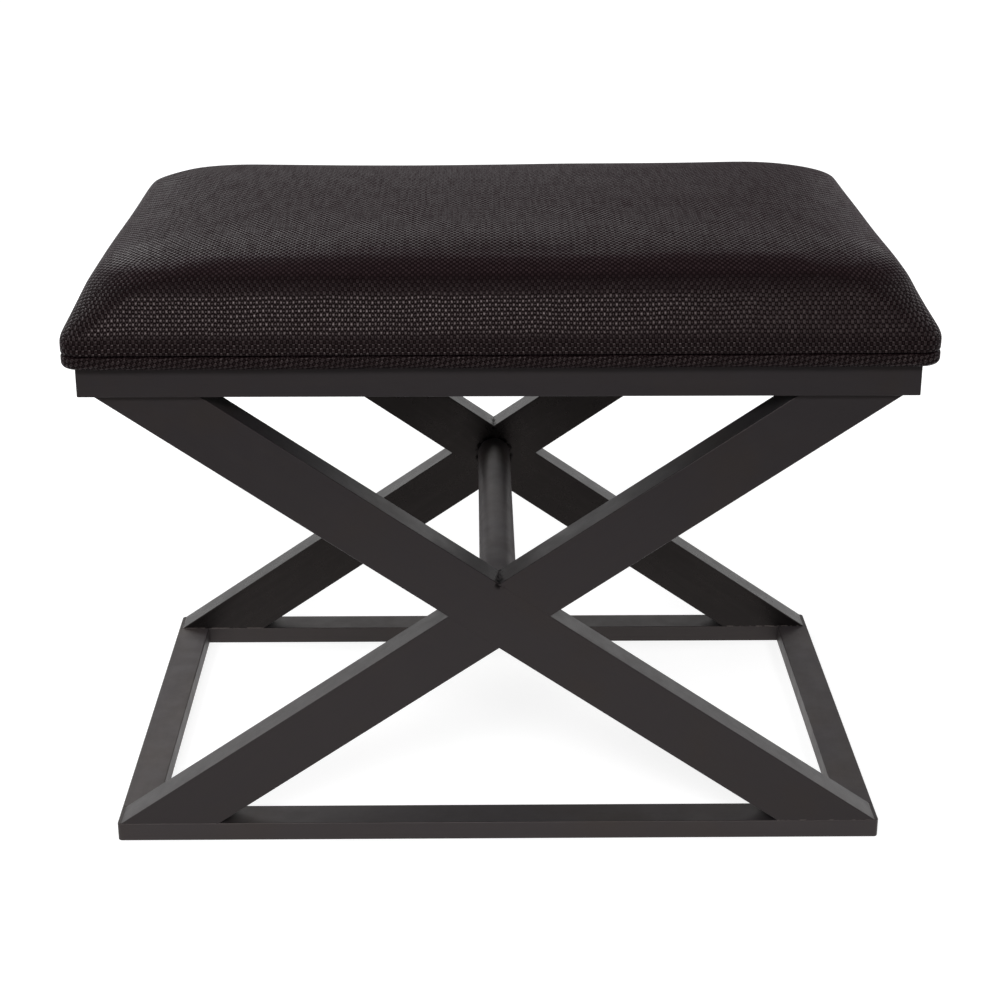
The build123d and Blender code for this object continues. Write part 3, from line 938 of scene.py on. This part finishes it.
# One black lacquer for all the timber; each piece's tone is painted light and shade: lighter on the side
# rails and the stretcher, which face up, darkest on the back legs, in shade under the seat
front_leg = {"tone": 0.74, "gloss": 0.26, "rough": 0.28, "shade_joints": True}
shaded_back_leg = {"warmth": 0.3, "tone": 0.11, "gloss": 0.24, "rough": 0.24, "shade_joints": True}
paint(
    timber_finish("timber_base_front", across_grain, warmth=0.5, tone=0.70, gloss=0.42),
    "base_front_rail",
)
paint(
    timber_finish("timber_base_back", across_grain, warmth=0.5, tone=0.42, gloss=0.50),
    "base_back_rail",
)
paint(
    timber_finish("timber_base_deep_painted_light", deep_grain, warmth=0.7, tone=1.20, gloss=0.40),
    "base_left_rail", "base_right_rail",
)
paint(
    timber_finish("timber_apron_across", across_grain, warmth=0.4, tone=0.70),
    "apron_front_rail", "apron_back_rail",
)
paint(
    timber_finish("timber_apron_deep", deep_grain, warmth=0.4, tone=0.70),
    "apron_left_rail", "apron_right_rail",
)
paint(
    timber_finish("timber_stretcher_painted_light", deep_grain, warmth=0.7, tone=1.50, gloss=0.44),
    "stretcher",
)
paint(
    timber_finish("timber_front_left_leg", rising_right, warmth=0.4, **front_leg),
    "front_left_leg",
)
paint(
    timber_finish("timber_front_right_leg", rising_left, warmth=0.5, joint_line=0.5, **front_leg),
    "front_right_leg",
)
paint(
    timber_finish("timber_back_left_leg_painted_shade", rising_right, joint_line=0.7, **shaded_back_leg),
    "back_left_leg",
)
paint(
    timber_finish("timber_back_right_leg_painted_shade", rising_left, joint_line=0.9, **shaded_back_leg),
    "back_right_leg",
)
paint(
    plain_wood_finish("beech", colour(0.62, 0.43, 0.26), colour(0.44, 0.28, 0.15), deep_grain),
    "base_corner_dowels", "apron_corner_dowels",
)
paint(
    plain_wood_finish(
        "birch_plywood", colour(0.66, 0.51, 0.33), colour(0.48, 0.34, 0.20), across_grain, plies=0.0012
    ),
    "seat_board",
)
paint(
    steel_finish("zinc_steel", colour(0.66, 0.66, 0.68), colour(0.50, 0.50, 0.52)),
    "leg_foot_screws", "leg_top_screws", "seat_screws",
)
paint(
    steel_finish("staple_wire", colour(0.70, 0.70, 0.71), colour(0.56, 0.56, 0.57)),
    "cover_staples", "dust_cover_staples",
)


# Studio

floor_half = 30.0
floor_colour = colour(0.40, 0.40, 0.40)
floor_glow = 0.80
floor_glow_far = 0.10
floor_white = 1.0
floor_near = 0.5
floor_far = 1.1
fill_level = 0.12
horizon_level = 0.45
horizon_low = math.sin(math.radians(3))
horizon_high = math.sin(math.radians(17))
ceiling_level = 0.03
ceiling_low = math.sin(math.radians(25))
ceiling_high = math.sin(math.radians(46))
side_wall_start = 0.17
side_wall_end = 0.28
shade_level = 0.55
shade_start = 0.02
shade_end = 0.15
shade_low = math.sin(math.radians(17))
shade_high = math.sin(math.radians(23))
aim = Vector((0.0, -0.10, 0.38))
lamp_distance = 3.1

# Soft lamps: power, size, azimuth from the front and elevation
lamps = {
    "key": (66.0, (1.5, 0.7), -6, 34),
    "left": (34.0, (1.4, 1.0), -100, 45),
    "right": (20.0, (1.4, 1.0), 100, 45),
    "rim": (12.0, (1.4, 0.9), -150, 28),
}


def make_floor():
    """White floor that keeps a faint shadow."""
    mesh = bpy.data.meshes.new("studio_floor")
    corners = [(floor_half * x, floor_half * y, 0) for x, y in ((-1, -1), (1, -1), (1, 1), (-1, 1))]
    mesh.from_pydata(corners, [], [(0, 1, 2, 3)])
    floor = bpy.data.objects.new("studio_floor", mesh)
    bpy.context.scene.collection.objects.link(floor)
    finish = Finish("studio_paper")
    away = finish.node("VectorMath", {0: finish.place()}, operation="LENGTH")
    away = away.node.outputs["Value"]
    mirrored = finish.ramp(away, floor_near, floor_far, floor_glow, floor_glow_far)
    paper = finish.ramp(away, floor_near, floor_far, floor_glow, floor_white)
    seen = finish.product(finish.rays("Camera", "Transmission"), paper)
    glow = finish.maths("ADD", seen, finish.product(finish.rays("Glossy"), mirrored))
    finish.coat(
        Base_Color=floor_colour,
        Roughness=1.0,
        Specular_IOR_Level=0.0,
        Emission_Color=colour(1, 1, 1),
        Emission_Strength=glow,
    )
    mesh.materials.append(finish.material)


def make_world():
    """White surroundings; where the stool reflects them, the ceiling is dark and the right side shaded."""
    world = bpy.data.worlds.new("studio")
    bpy.context.scene.world = world
    world.use_nodes = True
    nodes = Nodes(world.node_tree)
    direction = nodes.tree.nodes.new("ShaderNodeTexCoord").outputs["Generated"]
    sideways, _, height = nodes.axes(direction)
    aside = nodes.maths("ABSOLUTE", sideways)
    low_level = nodes.ramp(aside, side_wall_start, side_wall_end, horizon_level, 1.0)
    backdrop = nodes.ramp(height, horizon_low, horizon_high, low_level, 1.0)
    shade = nodes.ramp(sideways, shade_start, shade_end, 1.0, shade_level)
    shade = nodes.maths("MAXIMUM", shade, nodes.ramp(aside, side_wall_start, side_wall_end))
    shade = nodes.ramp(height, shade_low, shade_high, shade, 1.0)
    ceiling = nodes.ramp(height, ceiling_low, ceiling_high, 1.0, ceiling_level)
    reflected = nodes.maths("SUBTRACT", nodes.product(backdrop, shade, ceiling), fill_level)
    behind = nodes.product(nodes.rays("Camera", "Transmission"), 1.0 - fill_level)
    level = nodes.maths("ADD", behind, nodes.product(nodes.rays("Glossy"), reflected))
    background = world.node_tree.nodes["Background"]
    background.inputs["Color"].default_value = colour(1, 1, 1)
    nodes.put(background.inputs["Strength"], nodes.maths("ADD", level, fill_level))


def make_lamp(name, power, size, azimuth, elevation):
    """Soft rectangular lamp that faces the stool; azimuth 0 is straight in front of it."""
    data = bpy.data.lights.new(name, "AREA")
    data.shape = "RECTANGLE"
    data.energy = power
    data.size, data.size_y = size
    lamp = bpy.data.objects.new(name, data)
    lamp.visible_camera = False
    bpy.context.scene.collection.objects.link(lamp)
    turn, rise = math.radians(azimuth), math.radians(elevation)
    level = math.cos(rise)
    away = Vector((math.sin(turn) * level, -math.cos(turn) * level, math.sin(rise)))
    lamp.location = aim + away * lamp_distance
    lamp.rotation_euler = (-away).to_track_quat("-Z", "Y").to_euler()


def make_camera():
    """Camera at the photograph's place."""
    data = bpy.data.cameras.new("camera")
    data.lens = camera_lens
    data.sensor_width = camera_sensor
    camera = bpy.data.objects.new("camera", data)
    bpy.context.scene.collection.objects.link(camera)
    ahead = Vector((
        math.sin(camera_yaw) * math.cos(camera_pitch),
        math.cos(camera_yaw) * math.cos(camera_pitch),
        -math.sin(camera_pitch),
    ))
    level = Vector((math.cos(camera_yaw), -math.sin(camera_yaw), 0))
    down = ahead.cross(level)
    right = math.cos(camera_roll) * level + math.sin(camera_roll) * down
    up = math.sin(camera_roll) * level - math.cos(camera_roll) * down
    turn = Matrix((right, up, -ahead)).transposed()
    camera.matrix_world = Matrix.Translation(camera_place) @ turn.to_4x4()
    bpy.context.scene.camera = camera


make_floor()
make_world()
for lamp_name, lamp_values in lamps.items():
    make_lamp(lamp_name, *lamp_values)
make_camera()
bpy.context.scene.view_settings.view_transform = "Standard"
